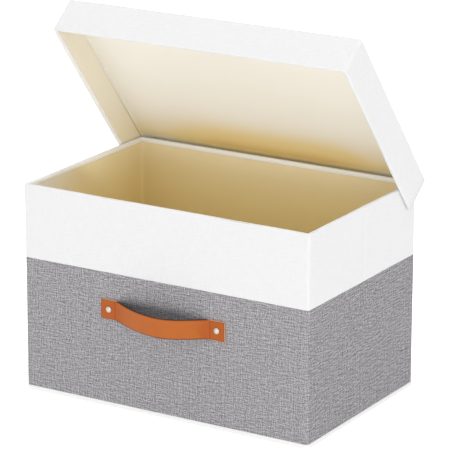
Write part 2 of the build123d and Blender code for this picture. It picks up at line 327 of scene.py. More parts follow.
def makeLeather(length, halfWidth, bendAt, rivetAt):
    tree = startMaterial("tan leather")
    u, v = clothPlace(tree)
    place = objectPlace(tree)
    back = tree.stored("back")
    # Ways in from the cut edges, and from the folds and the rivets on either half
    half = length / 2 - (u - length / 2).calc("ABSOLUTE")
    inside = half.calc("MINIMUM", halfWidth - v.calc("ABSOLUTE"))
    fold = (half - bendAt).calc("ABSOLUTE")
    fromRivet = ((half - rivetAt) * (half - rivetAt) + v * v).calc("SQRT")
    grain = place.node("TexVoronoi", {"Vector": place, "Scale": 1500}, out="Distance",
                       feature="DISTANCE_TO_EDGE")
    pores = noiseOn(place, 2400, 3, 0.6)
    cloud = noiseOn(place, 70, 4, 0.6)
    # Random cloudy tone, and painted light that pales the bow away from the folds
    bowLight = (half - bendAt).between(*leather["bowLight"])
    colour = (cloud * 0.9 + bowLight * 0.4).between(0.25, 0.95).mix(leather["colour"], leather["pale"])
    colour = (pores.between(0.62, 0.8) * 0.35).mix(colour, leather["deep"])
    dark = inside.between(*leather["edgeLine"]) * 0.8
    dark = dark.calc("MAXIMUM", fold.between(*leather["foldLine"]) * 0.8)
    dark = dark.calc("MAXIMUM", fromRivet.between(*leather["rivetRing"]) * 0.6)
    colour = dark.mix(colour, leather["deep"])
    # The cut edge is pale on the tabs, and along the bow it is dark with painted shade
    cut = (half - bendAt).between(0, leather["cutShadeFrom"]).mix(leather["cut"], leather["cutShade"])
    colour = inside.between(*leather["cutLine"]).mix(colour, cut)
    colour = back.between(0.3, 0.8).mix(colour, leather["flesh"])
    rough = leather["roughness"] + (cloud - 0.5) * 0.2 + back * 0.3
    finishMaterial(tree, colour, rough,
                   [(grain.between(0.0, 0.22) + pores * 0.4, leather["relief"]), (cloud, 0.4 * mm),
                    (inside.between(*leather["rounding"]), 0.15 * mm)],
                   {"Specular IOR Level": 0.22, "Coat Weight": 0.03 * (1 - back), "Coat Roughness": 0.35})


# Plain finishes: fine noise mixes two colours and adds the second roughness
plainFinishes = {
    "polished nickel": {"noise": (900, 3, 0.7), "mix": (0.35, 0.75), "roughness": (0.22, 0.14),
                        "colours": ((0.70, 0.64, 0.57), (0.56, 0.50, 0.43)), "relief": 0.01 * mm,
                        "sockets": {"Metallic": 0.75}},
    "grey board": {"noise": (700, 4, 0.7), "mix": (0.55, 0.75), "roughness": (0.85, 0.1),
                   "colours": ((0.36, 0.31, 0.24), (0.22, 0.18, 0.13)), "relief": 0.05 * mm, "sockets": {}},
    "white thread": {"noise": (2600, 2, 0.5), "mix": (0.3, 0.7), "roughness": (0.6, 0.2),
                     "colours": ((0.704, 0.704, 0.704), (0.88, 0.88, 0.88)), "relief": 0.05 * mm,
                     "sockets": {"Sheen Weight": 0.2}},
}


def makePlainFinish(name, finish):
    tree = startMaterial(name)
    speck = noiseOn(objectPlace(tree), *finish["noise"])
    smooth, rougher = finish["roughness"]
    finishMaterial(tree, speck.between(*finish["mix"]).mix(*finish["colours"]), smooth + speck * rougher,
                   [(speck, finish["relief"])], finish["sockets"])


makeWhiteFabric()
makeGreyLinen()
makeBeigeLining()
for name, finish in plainFinishes.items():
    makePlainFinish(name, finish)
print("materials made:", len(materials))


# Mesh helpers

def clamp(value, low, high):
    return max(low, min(high, value))


def planOf(low, high, radius, inset=0.0, openRear=False):
    # A rectangle with round corners. With openRear the rear corners are square and left open.
    x0, x1, y0, y1 = low[0] + inset, high[0] - inset, low[1] + inset, high[1] - inset
    return SimpleNamespace(x0=x0, x1=x1, y0=y0, y1=y1, radius=radius, openRear=openRear,
                           size=(x1 - x0, y1 - y0), centre=Vector(((x0 + x1) / 2, (y0 + y1) / 2)))


def coreOf(plan, foot):
    # The nearest point of the rectangle through the corner arcs' centres
    r = plan.radius
    rear = 0 if plan.openRear else r
    return Vector((clamp(foot.x, plan.x0 + r, plan.x1 - r),
                   clamp(foot.y, plan.y0 + r, plan.y1 - rear)))


def placeAt(plan, foot, inset):
    # Where a point of the plan comes to lie when the plan shrinks by inset
    core = coreOf(plan, foot)
    r = plan.radius
    if inset <= r:
        return core + (foot.xy - core).normalized() * (r - inset)
    rear = 0 if plan.openRear else inset
    return Vector((clamp(core.x, plan.x0 + inset, plan.x1 - inset),
                   clamp(core.y, plan.y0 + inset, plan.y1 - rear)))


def straightsOf(plan):
    # The straight lengths between the round corners
    return [size - 2 * plan.radius for size in plan.size]


def wayRound(plan):
    return 2 * sum(straightsOf(plan)) + math.tau * plan.radius


def roundPlace(plan, foot):
    # How far round a point lies, counted from the rear left corner
    core = coreOf(plan, foot)
    out = foot.xy - core
    wide, deep = straightsOf(plan)
    x, y = plan.centre - core
    angle = math.atan2(-out.y, -out.x) % math.tau
    if angle > math.tau - 1e-4:
        angle = 0.0
    before = (deep / 2 + y, deep + wide / 2 - x, 1.5 * deep + wide - y, 2 * deep + 1.5 * wide + x)
    return plan.radius * angle + before[min(round(angle / (math.pi / 2)), 3)]


def evenly(low, high, step):
    count = max(1, round((high - low) / step))
    return [low + (high - low) * i / count for i in range(count + 1)]


def cutAcross(bm, axis, places):
    for place in places:
        bmesh.ops.bisect_plane(bm, geom=bm.verts[:] + bm.edges[:] + bm.faces[:], dist=1e-6,
                               plane_co=Vector(axis) * place, plane_no=axis)


def startRectangle(width, depth):
    bm = bmesh.new()
    bmesh.ops.create_grid(bm, x_segments=1, y_segments=1, size=0.5)
    bmesh.ops.scale(bm, vec=(width, depth, 1), verts=bm.verts)
    return bm


def startPlate(plan, height, step=8 * mm, extraX=(), extraY=()):
    # A flat sheet with round corners, cut into a grid. Its points remember their foot on it.
    bm = startRectangle(*plan.size)
    x0, x1, y0, y1, r = plan.x0, plan.x1, plan.y0, plan.y1, plan.radius
    bmesh.ops.translate(bm, vec=(*plan.centre, height), verts=bm.verts)
    corners = [v for v in bm.verts if not (plan.openRear and v.co.y > plan.centre.y)]
    bmesh.ops.bevel(bm, geom=corners, offset=r, segments=6, profile=0.5, affect="VERTICES")
    beside = r + 1.2 * mm  # a narrow row beside the corners
    rearCut = [] if plan.openRear else [y1 - beside, y1 - r]
    cutAcross(bm, (1, 0, 0), [x0 + r, x0 + beside, x1 - beside, x1 - r])
    cutAcross(bm, (0, 1, 0), [y0 + r, y0 + beside, *rearCut])
    cutAcross(bm, (1, 0, 0), [*evenly(x0 + beside, x1 - beside, step)[1:-1], *extraX])
    cutAcross(bm, (0, 1, 0), [*evenly(y0 + beside, y1 - beside, step)[1:-1], *extraY])
    foot = bm.verts.layers.float_vector.new("foot")
    flat = bm.verts.layers.float_vector.new("flat")
    for v in bm.verts:
        v[foot] = v[flat] = v.co
    return bm


def growRim(bm, edges):
    # One more row of faces from these edges: its outer edges and their points
    made = bmesh.ops.extrude_edge_only(bm, edges=edges)["geom"]
    ring = {g for g in made if isinstance(g, bmesh.types.BMVert)}
    return [g for g in made if isinstance(g, bmesh.types.BMEdge) and ring.issuperset(g.verts)], ring


def runProfile(bm, plan, profile, sleeve=False):
    # Carries the rim of the sheet along (inset, height) points. The first point moves the rim itself.
    foot = bm.verts.layers.float_vector["foot"]
    flat = bm.verts.layers.float_vector["flat"]
    edges = [e for e in bm.edges if e.is_boundary]
    if plan.openRear:
        edges = [e for e in edges if min(v.co.y for v in e.verts) < plan.y1 - 1e-5]
    ring = {v for e in edges for v in e.verts}
    travelled = 0
    before = profile[0]
    for number, (inset, height) in enumerate(profile):
        if number:
            edges, ring = growRim(bm, edges)
        travelled += math.dist(before, (inset, height))
        before = (inset, height)
        for v in ring:
            v.co = (*placeAt(plan, v[foot], inset), height)
            if sleeve:
                v[flat] = (roundPlace(plan, v[foot]), -travelled, 0)
            else:
                out = (v[foot].xy - coreOf(plan, v[foot])).normalized()
                v[flat] = (*(placeAt(plan, v[foot], profile[0][0]) + out * travelled), 0)


def addClothMap(bm, span=0.0):
    # Writes the flat cloth places as a UV map. On a sleeve, span is the way round, so that no face wraps.
    flat = bm.verts.layers.float_vector["flat"]
    layer = bm.loops.layers.uv.new("cloth")
    for face in bm.faces:
        us = [loop.vert[flat].x for loop in face.loops]
        wraps = span and max(us) - min(us) > span / 2
        for loop, u in zip(face.loops, us):
            loop[layer].uv = (u + span if wraps and u < span / 2 else u, loop.vert[flat].y)
    bmesh.ops.remove_doubles(bm, verts=bm.verts, dist=1e-6)


def markPoints(bm, name, measure, most=1.0):
    # Stores a value from 0 to most on each point, for the material to read
    layer = bm.verts.layers.float.new(name)
    for v in bm.verts:
        v[layer] = clamp(measure(v.co), 0.0, most)


def waver(bm, amount, size, seed, keep=None):
    # Moves points along their normals by slow noise, as cloth over board is never quite flat
    bm.normal_update()
    shifts = []
    for v in bm.verts:
        if not (keep and keep(v.co)):
            lift = noise.noise(v.co / size + Vector((seed, seed * 1.7, -seed)))
            shifts.append((v, v.normal * (lift * amount)))
    for v, shift in shifts:
        v.co += shift


def faceAway(bm, point, inward=False):
    # Makes the faces, taken together, look away from the point, or towards it
    bm.normal_update()
    total = sum((f.calc_center_median() - point).dot(f.normal) * f.calc_area() for f in bm.faces)
    if (total < 0) != inward:
        bmesh.ops.reverse_faces(bm, faces=bm.faces)


def addObject(name, data):
    made = bpy.data.objects.new(name, data)
    scene.collection.objects.link(made)
    return made


def addMesh(bm, name, material):
    mesh = bpy.data.meshes.new(name)
    bm.to_mesh(mesh)
    bm.free()
    mesh.materials.append(materials[material])
    return addObject(name, mesh)


def finishPiece(bm, name, body, material, replaced=(), turn=None, thickness=None):
    bmesh.ops.remove_doubles(bm, verts=bm.verts, dist=1e-6)
    if turn:
        bmesh.ops.transform(bm, matrix=turn, verts=bm.verts)
    piece = addMesh(bm, name, material)
    piece.data.shade_smooth()
    if body:
        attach(piece, body)
    if replaced:
        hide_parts(*replaced)
    if thickness:
        solid = piece.modifiers.new("cloth thickness", "SOLIDIFY")
        solid.thickness, solid.offset = thickness, -1
    return piece


def arc(centre, radius, start, stop, count):
    # Points of a profile on an arc, from start to stop in degrees, where 0 points to a larger inset
    angles = [math.radians(start + (stop - start) * i / count) for i in range(count + 1)]
    return [(centre[0] + radius * math.cos(a), centre[1] + radius * math.sin(a)) for a in angles]


def down(inset, top, bottom, step=8 * mm):
    return [(inset, z) for z in reversed(evenly(bottom, top, step))]


# The box: outer fabrics

walls = inMm(
    radius=4.5, lipHeight=6.0, lipProud=0.3, seamDepth=0.7, seamWidth=1.6, creaseDepth=0.45, creaseWidth=2.2,
    waver=0.35, waverSize=70, linenThickness=0.6, whiteThickness=0.4,
    rimWidth=5.0,  # fabric, board and fabric, seen from above
)
boxPlan = planOf(linenLow, linenHigh, walls["radius"])
creaseCuts = [side * walls["creaseWidth"] * share for side in (-1, 1) for share in (0.35, 0.75, 1.3)] + [0.0]


def foldCrease(bm):
    # The upright line in the middle of each side wall, where the wall folds in
    foot = bm.verts.layers.float_vector["foot"]
    for v in bm.verts:
        if abs(v[foot].x) > boxPlan.x1 - 1e-4:
            strength = math.exp(-((v[foot].y / walls["creaseWidth"]) ** 2) * 1.5)
            v.co.x -= math.copysign(walls["creaseDepth"] * strength, v[foot].x)


def sleeveAround(plan, profile, seed, amount=walls["waver"], keep=None):
    # A ring of cloth round a plan, without a top
    bm = startPlate(plan, 0, extraY=creaseCuts)
    plate = bm.faces[:]
    runProfile(bm, plan, profile, sleeve=True)
    bmesh.ops.delete(bm, geom=plate, context="FACES")
    addClothMap(bm, wayRound(plan))
    faceAway(bm, Vector((0, 0, sum(p[1] for p in profile) / len(profile))))
    waver(bm, amount, walls["waverSize"], seed, keep)
    return bm


def makeLinenCover():
    top, bottom = linenHigh.z, linenLow.z
    deep, wide = walls["seamDepth"], walls["seamWidth"]
    profile = [(deep, top + 0.05 * mm), (deep * 0.5, top - 0.1 * wide), (0.02 * mm, top - 0.5 * wide),
               (-0.1 * mm, top - 1.2 * wide), *down(0, top - 3 * wide, bottom + 3 * mm),
               (0.05 * mm, bottom + 1 * mm), (0.5 * mm, bottom - 0.6 * mm)]
    bm = sleeveAround(boxPlan, profile, seed=1.0)
    foldCrease(bm)
    piece = finishPiece(bm, "linen_wall_fabric", "box", "grey linen", ["linen_cover"],
                        thickness=walls["linenThickness"])


def makeUpperCover():
    top, bottom = upperHigh.z, upperLow.z
    deep, wide, rim = walls["seamDepth"], walls["seamWidth"], walls["rimWidth"]
    half = rim / 2
    lip = rim + walls["lipProud"]
    lipEnd = top - walls["lipHeight"]
    profile = [(rim - 0.5 * mm, lipEnd + 0.2 * mm), (lip - 0.15 * mm, lipEnd - 0.05 * mm),
               (lip, lipEnd + 0.5 * mm), (lip, lipEnd + 1.6 * mm), (rim, top - half),
               *arc((half, top - half), half, 0, 180, 10)[1:],
               *down(0, top - half - 2 * mm, bottom + 3 * wide), (-0.12 * mm, bottom + 1.2 * wide),
               (0.0, bottom + 0.5 * wide), (deep * 0.5, bottom + 0.1 * wide), (deep, bottom - 0.05 * mm)]
    # The hinge lies flat on the top of the back wall
    bm = sleeveAround(boxPlan, profile, seed=2.0,
                      keep=lambda p: p.y > upperHigh.y - 1 * mm and p.z > seam.z - 30 * mm)
    foldCrease(bm)
    # Painted light on the rim's lips, where the cloth lies double
    markPoints(bm, "foldLight", lambda p: min(boxPlan.x1 - abs(p.x), boxPlan.y1 - abs(p.y)) / half - 1)
    piece = finishPiece(bm, "white_wall_fabric", "box", "white fabric", ["upper_cover"],
                        thickness=walls["whiteThickness"])
    flat = (wayRound(boxPlan), top - bottom + rim + walls["lipHeight"])


binding = inMm(height=6.2, proud=0.9, under=9.5, waver=0.12, offFloor=0.05) | {"foldLight": 0.4}


def makeFootBinding():
    high, proud, under = (binding[key] / mm for key in ("height", "proud", "under"))
    profile = [(0.6, high + 0.1), (0.1, high + 0.15), (-0.45 * proud, high - 0.15),
               (-0.85 * proud, high - 0.9), (-proud, high - 2.2), (-0.95 * proud, high - 3.6),
               (-0.75 * proud, high - 4.7), (-0.2 * proud, 0.7), (0.7, 0.25), (1.8, 0.1), (4, 0.08),
               (7, 0.08), (under, 0.1), (under + 0.3, 0.5)]
    profile = [(inset * mm, z * mm) for inset, z in profile]
    bm = sleeveAround(boxPlan, profile, seed=3.0, amount=binding["waver"])
    for v in bm.verts:
        v.co.z = max(v.co.z, binding["offFloor"])
    # Painted light on the folded binding
    markPoints(bm, "foldLight", lambda p: binding["foldLight"])
    piece = finishPiece(bm, "foot_binding", "box", "white fabric", ["base_binding"])
    flat = (wayRound(boxPlan), binding["height"] + binding["under"] + 2 * mm)


base = inMm(inset=3, radius=4, offFloor=0.65, waver=0.12, waverSize=50, thickness=0.25)


def makeBaseSheet():
    plan = planOf(linenLow, linenHigh, base["radius"], base["inset"])
    bm = startPlate(plan, base["offFloor"], step=14 * mm)
    waver(bm, base["waver"], base["waverSize"], seed=4.0)
    bmesh.ops.reverse_faces(bm, faces=bm.faces)
    addClothMap(bm)
    piece = finishPiece(bm, "base_fabric", "box", "white fabric", ["base_cover"],
                        thickness=base["thickness"])


makeLinenCover()
makeUpperCover()
makeFootBinding()
makeBaseSheet()
print("outer fabrics of the box made")


# The box: linings and the loose bottom board

inside = inMm(
    radius=5, thickness=0.7, waver=0.5, floorRadius=4, floorGap=1.5,
    # Painted shade: the lining's tone warms over warmDepth on the way down. Painted light pales it from
    # lightFrom to lightTo along Y.
    warmDepth=200, lightFrom=-15, lightTo=-120,
) | {"depth": 0.62, "frontLight": 0.45, "mostDepth": 1.05}
innerPlan = planOf(liningLow, liningHigh, inside["radius"], inside["thickness"])


def makeWallLining():
    top, bottom = liningHigh.z, liningLow.z
    profile = [(-0.2 * mm, top + 1.5 * mm), (0, top - 0.5 * mm), *down(0, top - 2 * mm, bottom + 3 * mm),
               (0.4 * mm, bottom + 1.2 * mm), (2.5 * mm, bottom + 0.15 * mm)]
    bm = sleeveAround(innerPlan, profile, seed=5.0, amount=inside["waver"])
    bmesh.ops.reverse_faces(bm, faces=bm.faces)

    # Painted shade, golden deeper down, with painted light towards the front
    def depthAt(p):
        start, full = inside["lightFrom"], inside["lightTo"]
        light = inside["frontLight"] * clamp((p.y - start) / (full - start), 0, 1)
        return min(inside["depth"] - light + (top - p.z) / inside["warmDepth"], inside["mostDepth"])

    markPoints(bm, "depth", depthAt, 2.0)
    piece = finishPiece(bm, "wall_lining_fabric", "box", "beige lining", ["wall_lining"])


def makeFloorLining():
    inset = inside["thickness"] + inside["floorGap"]
    plan = planOf(liningLow, liningHigh, inside["floorRadius"], inset)
    bm = startPlate(plan, liningLow.z + 0.1 * mm, step=16 * mm)
    # Painted shade: the floor lining is golden
    markPoints(bm, "depth", lambda p: 1.0, 2.0)
    addClothMap(bm)
    piece = finishPiece(bm, "floor_lining_fabric", "box", "beige lining", ["floor_lining"])


insert = inMm(radius=5, edge=1.9, turnUnder=22, crown=0.5, waver=0.25, waverSize=50) | {"depth": 0.5}


def makeInsertWrap():
    low, high, edge, under = insertLow, insertHigh, insert["edge"], insert["turnUnder"]
    plan = planOf(low, high, insert["radius"])
    bm = startPlate(plan, high.z, step=12 * mm)
    profile = [*arc((edge, high.z - edge), edge, 90, 180, 5),
               *arc((edge, low.z + edge), edge, 180, 270, 5)[1:],
               (6 * mm, low.z), (12 * mm, low.z), (under, low.z)]
    runProfile(bm, plan, profile)
    addClothMap(bm)
    faceAway(bm, (low + high) / 2)
    foot = bm.verts.layers.float_vector["foot"]
    for v in bm.verts:
        if v.co.z > high.z - 0.05 * mm:
            x, y = v[foot].x / high.x, v[foot].y / high.y
            v.co.z += insert["crown"] * (1 - x * x) * (1 - y * y)
    waver(bm, insert["waver"], insert["waverSize"], seed=6.0, keep=lambda p: p.z < low.z + 1 * mm)
    # Painted shade: the board's wrap is half way to golden
    markPoints(bm, "depth", lambda p: insert["depth"], 2.0)
    piece = finishPiece(bm, "bottom_board_wrap", "insert", "beige lining", ["insert_cover"])
    size = high - low
    size.x + 2 * under
    size.y + 2 * under


makeWallLining()
makeFloorLining()
makeInsertWrap()
print("linings made")


# The lid

lid = inMm(
    radius=5, topEdge=1.9, turnIn=8, lipHeight=5.0, lipProud=0.3, waver=0.4, waverSize=80, panelRear=-0.9,
    skirt=4.0,  # fabric, board and fabric
    hem=1.7,  # how far the fabric hangs below the skirts' boards
) | {"endRound": 0.35}
lidPlan = planOf(lidLow, lidHigh, lid["radius"], openRear=True)
lidInner = lidHigh.x - lid["skirt"]
skirtLow = lidLow.z - lid["hem"]


def rimWhere(bm, test):
    return [e for e in bm.edges if e.is_boundary and all(test(v.co) for v in e.verts)]


def closeSkirtEnds(bm):
    # A flat end on each skirt, with a rounded rim
    for side in (-1, 1):
        rim = rimWhere(bm, lambda p: p.y > lidPlan.y1 - 1e-5 and p.x * side > lidInner - 1 * mm)
        edges, ring = growRim(bm, rim)
        for v in ring:
            v.co.x += (side * (lidHigh.x - lid["skirt"] / 2) - v.co.x) * lid["endRound"]
            v.co.y += 0.25 * mm
        bmesh.ops.contextual_create(bm, geom=edges)


def wrapPanelRear(bm):
    # The fabric turns down over the panel's rear edge and forward under the lining
    flat = bm.verts.layers.float_vector["flat"]
    edges = rimWhere(bm, lambda p: abs(p.y - lid["panelRear"]) < 1e-5 and p.z > lidHigh.z - 1e-4)
    for forward, drop in ((0, 0.6), (0, 3), (0, 5.6), (0.6, 6.3), (5, 6.4)):
        forward, drop = forward * mm, drop * mm
        edges, ring = growRim(bm, edges)
        for v in ring:
            v.co.y = lid["panelRear"] - forward
            v.co.z = lidHigh.z - drop
            v[flat].y = lid["panelRear"] + drop + forward


def turnInEnds(bm):
    # Round the rear end of each skirt the fabric turns in over the lining
    low, high = skirtLow + lid["lipHeight"] - 1 * mm, lidBoardLow.z - 2 * mm
    layer = bm.loops.layers.uv["cloth"]
    for side in (-1, 1):
        middle = Vector((side * (lidInner - 0.05 * mm), lidPlan.y1 - lid["turnIn"] / 2 + 0.2 * mm,
                         (low + high) / 2))
        size = Matrix.Diagonal((0.5 * mm, lid["turnIn"], high - low, 1))
        made = bmesh.ops.create_cube(bm, size=1, matrix=Matrix.Translation(middle) @ size)["verts"]
        for face in {face for v in made for face in v.link_faces}:
            for loop in face.loops:
                loop[layer].uv = loop.vert.co.yz


def makeLidCover():
    top, bottom, edge, skirt = lidHigh.z, skirtLow, lid["topEdge"], lid["skirt"]
    half = skirt / 2
    lip = skirt + lid["lipProud"]
    lipEnd = bottom + lid["lipHeight"]
    bm = startPlate(lidPlan, top, extraX=[-lidInner, lidInner, -lidInner + 2 * mm, lidInner - 2 * mm])
    profile = [*arc((edge, top - edge), edge, 90, 180, 5),
               *down(0, top - edge - 1.5 * mm, bottom + half + 1.5 * mm),
               *arc((half, bottom + half), half, 180, 360, 8), (lip, bottom + half + 0.8 * mm),
               (lip, lipEnd - 0.5 * mm), (lip - 0.2 * mm, lipEnd), (skirt - 0.6 * mm, lipEnd - 0.2 * mm)]
    runProfile(bm, lidPlan, profile)
    # Between the skirts the panel ends a little short of their rear ends
    for v in bm.verts:
        if abs(v.co.x) < lidInner - 1e-5 and v.co.z > lidHigh.z - 1e-5:
            v.co.y = min(v.co.y, lid["panelRear"])
    closeSkirtEnds(bm)
    wrapPanelRear(bm)
    addClothMap(bm)
    bmesh.ops.recalc_face_normals(bm, faces=bm.faces)
    faceAway(bm, Vector((0, (lidLow.y + lidHigh.y) / 2, (top + bottom) / 2)))
    waver(bm, lid["waver"], lid["waverSize"], seed=8.0, keep=lambda p: p.y > -3 * mm)
    turnInEnds(bm)

    # Painted light on the skirts' lips, where the cloth lies double
    def foldLightAt(p):
        return min(lidHigh.x - abs(p.x), p.y - lidLow.y) / half - 1 if p.z < lipEnd + 1 * mm else 0

    markPoints(bm, "foldLight", foldLightAt)
    piece = finishPiece(bm, "lid_fabric", "lid", "white fabric", ["lid_cover"], lidTurn)
    size = lidHigh - lidLow
    drop = size.z + skirt + lid["lipHeight"]
    area = size.x * size.y + drop * (size.x + 2 * size.y)
    size.x + 2 * drop
    size.y + drop


# The lining's painted shade: golden towards the hinge, and a darker line in the tuck's crease
panel = inMm(
    tuckDrop=4.6,  # how far below the panel the lining is tucked along the skirts
    sag=0.15, slack=40, corner=0.9, waver=0.25, waverSize=70, goldReach=110, creaseReach=130, rimFade=6,
    endStart=70, endWidth=120,  # the gold weakens over this towards the ends of the hinge
) | {"goldShade": 2.25, "goldFade": 2.1, "endLoss": 0.58, "rimGold": 0.2,
     # Painted shade on the skirts and in the tuck's crease: away from the hinge, and what is added at the
     # hinge
     "skirtGold": (0.30, 0.2), "creaseTone": (0.08, 0.8)}


def makeLidLining():
    # A tuck runs round the skirts below the corner. The corner itself clears the rim of the shut box.
    slack, corner, sag = (panel[key] for key in ("slack", "corner", "sag"))
    face = lid["skirt"] - 0.05 * mm
    top = lidBoardLow.z - 0.75 * mm
    tuck = top - panel["tuckDrop"]
    bottom = skirtLow + lid["lipHeight"] - 0.6 * mm
    plan = planOf(lidLow, (lidHigh.x, lidLiningHigh.y), lid["radius"], openRear=True)
    bm = startPlate(plan, top)
    flat = bm.verts.layers.float_vector["flat"]
    for v in bm.verts:
        v.co.x = clamp(v.co.x, plan.x0 + slack + face, plan.x1 - slack - face)
        v.co.y = max(v.co.y, plan.y0 + slack + face)
        v[flat] = v.co
    profile = [(face + slack * i / 6, top - sag * (1 - i / 6) ** 2) for i in range(6, 0, -1)]
    profile += [(face + 3 * corner, top - sag), *arc((face + corner, top - sag - corner), corner, 90, 180, 4),
                (face, tuck + 1.5 * mm), (face - 0.1 * mm, tuck + 0.5 * mm), (face - 0.5 * mm, tuck),
                (face + 0.05 * mm, tuck - 0.4 * mm), *down(face, tuck - 1.4 * mm, bottom, step=6 * mm)]
    runProfile(bm, plan, profile)
    addClothMap(bm)
    faceAway(bm, Vector((0, (lidLow.y + lidHigh.y) / 2, 0)), inward=True)
    waver(bm, panel["waver"], panel["waverSize"], seed=9.0,
          keep=lambda p: p.y > -3 * mm or abs(p.z - tuck) < 1 * mm)

    def nearness(p, reach):
        # 1 at the hinge, 0 beyond reach
        return max(1 - (plan.y1 - p.y) / reach, 0)

    skirtGold, skirtAdded = panel["skirtGold"]
    creaseTone, creaseAdded = panel["creaseTone"]

    def depthAt(p):
        # Painted shade: the lining goes golden towards the hinge, least at its ends and along the rim
        near = nearness(p, panel["goldReach"])
        if p.z < tuck + 0.1 * mm:
            return skirtGold + skirtAdded * near
        end = clamp((abs(p.x) - panel["endStart"]) / panel["endWidth"], 0, 1)
        rim = clamp((plan.y1 - p.y) / panel["rimFade"], panel["rimGold"], 1)
        loss = panel["endLoss"] * end * end * (3 - 2 * end)
        return panel["goldShade"] * near ** panel["goldFade"] * (1 - loss) * rim

    # Painted shade in the tuck's crease, stronger towards the hinge
    def creaseAt(p):
        inTuck = abs(p.z - tuck) < 0.6 * mm
        return creaseTone + creaseAdded * nearness(p, panel["creaseReach"]) if inTuck else 0

    markPoints(bm, "depth", depthAt, 2.0)
    markPoints(bm, "crease", creaseAt)
    piece = finishPiece(bm, "lid_lining_fabric", "lid", "beige lining", ["lid_lining"], lidTurn)


makeLidCover()
makeLidLining()
print("lid fabrics made")


# The hinge: a double strip of fabric from the back wall to the lid's rear edge

hinge = inMm(thickness=1.2, sewnThickness=0.4, onWall=11, onLid=10, bend=2.5, round=2.2)


def stripAlong(path, width):
    # A closed strip: a flat section along (y, z, thickness) points, drawn out along X
    bm = bmesh.new()
    flat = bm.verts.layers.float_vector.new("flat")
    sides = []
    for i, (y, z, thickness) in enumerate(path):
        ahead = Vector(path[min(i + 1, len(path) - 1)][:2]) - Vector(path[max(i - 1, 0)][:2])
        normal = Vector((ahead.y, -ahead.x)).normalized() * thickness / 2
        sides.append((Vector((y, z)) + normal, Vector((y, z)) - normal))
    loop = [pair[0] for pair in sides] + [pair[1] for pair in reversed(sides)]
    face = bm.faces.new([bm.verts.new((-width / 2, p.x, p.y)) for p in loop])
    grown = bmesh.ops.extrude_face_region(bm, geom=[face])["geom"]
    bmesh.ops.translate(bm, vec=(width, 0, 0), verts=[g for g in grown if isinstance(g, bmesh.types.BMVert)])
    cutAcross(bm, (1, 0, 0), evenly(-width / 2, width / 2, 10 * mm)[1:-1])
    bmesh.ops.recalc_face_normals(bm, faces=bm.faces)
    for v in bm.verts:
        v[flat] = (v.co.x, v.co.y + v.co.z, 0)
    return bm


def makeHingeLining(width, place):
    # The lining runs on over the inner side of the strip, from the panel to the seam
    low, high = hinge["bend"] / 2 + 0.1 * mm, lidBoardLow.z - 0.8 * mm
    bm = startRectangle(width, high - low)
    cutAcross(bm, (1, 0, 0), evenly(-width / 2, width / 2, 20 * mm)[1:-1])
    flat = bm.verts.layers.float_vector.new("flat")
    for v in bm.verts:
        v[flat] = v.co
        v.co = (v.co.x, place, (low + high) / 2 + v.co.y)
    faceAway(bm, Vector((0, 1, 0)))
    markPoints(bm, "depth", lambda p: 0.0)
    addClothMap(bm)
    piece = finishPiece(bm, "hinge_lining_fabric", "flap", "beige lining", turn=lidTurn)
    high - low


def makeHinge():
    thick, thin, turn, bend = (hinge[key] for key in ("thickness", "sewnThickness", "round", "bend"))
    width = flapHigh.x - flapLow.x
    middle = (flapLow.z + flapHigh.z) / 2
    top = lidHigh.z + thick / 2
    wallPath = []
    for z in evenly(-hinge["onWall"], middle, 0.7 * mm):
        # Pressed thin where it is sewn to the wall
        t = clamp((z + bend) / (1.6 * bend), 0, 1)
        wallPath.append(((1 - t) * (thin / 2 + upperHigh.y - seam.y), z, thin + (thick - thin) * t))
    lidPath = [(0, z) for z in evenly(middle, top - turn, 1.5 * mm)]
    lidPath += arc((-turn, top - turn), turn, 0, 90, 6)[1:]
    lidPath += [(-turn - s, top) for s in evenly(0, hinge["onLid"], 2 * mm)[1:]]
    lower = stripAlong(wallPath, width)
    # Shut, the strip lies flat on the back wall. It turns up about the seam over a short bend.
    for v in lower.verts:
        t = clamp((v.co.z + bend * 0.5) / bend, 0, 1)
        v.co = Matrix.Rotation(-openAngle * t * t * (3 - 2 * t), 3, "X") @ v.co + seam
    addClothMap(lower)
    wallStrip = finishPiece(lower, "hinge_fabric_lower", None, "white fabric")
    up = Vector((0, math.sin(openAngle / 2), math.cos(openAngle / 2))) * bend / 2
    seam - up
    seam + up
    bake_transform(wallStrip)
    upper = stripAlong([(*point, thick) for point in lidPath], width)
    addClothMap(upper)
    lidStrip = finishPiece(upper, "hinge_fabric_upper", None, "white fabric", ["hinge_flap"], lidTurn)
    start = lidTurn @ Vector((0, 0.6 * mm, top - turn - 1 * mm))
    end = lidTurn @ Vector((0, -turn - 1 * mm, top))
    makeHingeLining(width - 2 * mm, -thick / 2 - 0.03 * mm)
    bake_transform(lidStrip)
    hinge["onWall"] + middle
    top - middle + hinge["onLid"]


makeHinge()
print("hinge made")


# The leather strap and its rivets

strap = inMm(thickness=2.4, tipRadius=1.4, edgeRadius=0.7, tab=22, dent=0.35, dentReach=5.2,
             creaseReach=0.8, step=1.4, sideStep=1.5)
# How far the strap's middle stands off the wall along its length, left to right, in millimetres
strap["bow"] = [(-66, 2.9), (-46, 14.6), (-26, 23.6), (-4, 29.6), (12, 30.9), (30, 27.3), (50, 15.3),
                (66, 3.3)]
rivet = inMm(radius=4.1, rim=0.45, dome=1.7, groove=0.25) | {"capShare": 0.84}
strapMiddle = (strapLow.z + strapHigh.z) / 2
frontY = linenLow.y
rivetX = rivetHigh.x - rivet["radius"]


